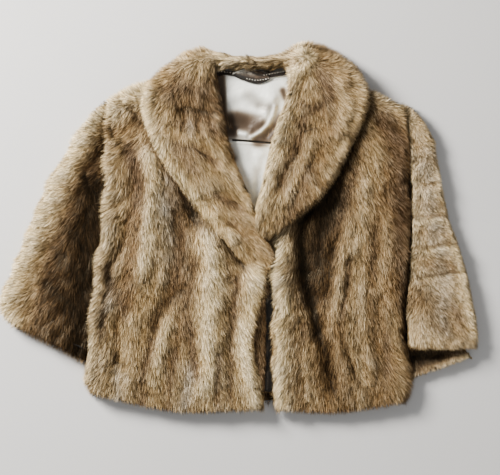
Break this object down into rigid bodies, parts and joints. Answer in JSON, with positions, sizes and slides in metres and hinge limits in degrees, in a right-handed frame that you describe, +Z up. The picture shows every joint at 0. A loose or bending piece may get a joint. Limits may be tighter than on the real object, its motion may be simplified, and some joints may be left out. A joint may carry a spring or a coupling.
{
  "type": "fur cape jacket",
  "caption": "Short fur cape jacket with a shawl collar, wide cape sleeves and a satin lining, laid flat on its back.",
  "frame": {"origin": "on the flat underside of the back, in the middle of the garment, at the surface it lies on", "axes": "+X across the garment towards the wearer's left sleeve, +Y from the hem to the collar, +Z up from the surface"},
  "size_m": [0.7495, 0.5794, 0.0497],
  "materials": {
    "tan_fur": "long soft fur with darker pelt stripes",
    "collar_fur": "long soft fur, lighter crests",
    "sleeve_fur": "long soft fur in cross-wise pelts",
    "facing_fur": "short dark fur turned inside",
    "satin_lining": "glossy silver-white satin",
    "black_braid": "black braid with white stitches",
    "label_cloth": "plain dark woven label"
  },
  "bodies": {
    "root": {"back": "tan_fur", "front_right": "tan_fur", "front_left": "tan_fur", "front_facing_right": "facing_fur", "sleeve_right_upper": "sleeve_fur", "sleeve_right_under": "facing_fur", "sleeve_left_upper": "sleeve_fur", "sleeve_left_under": "facing_fur", "collar_right": "collar_fur", "collar_left": "collar_fur", "lining": "satin_lining", "neck_braid": "black_braid", "label": "label_cloth"}
  },
  "joints": []
}
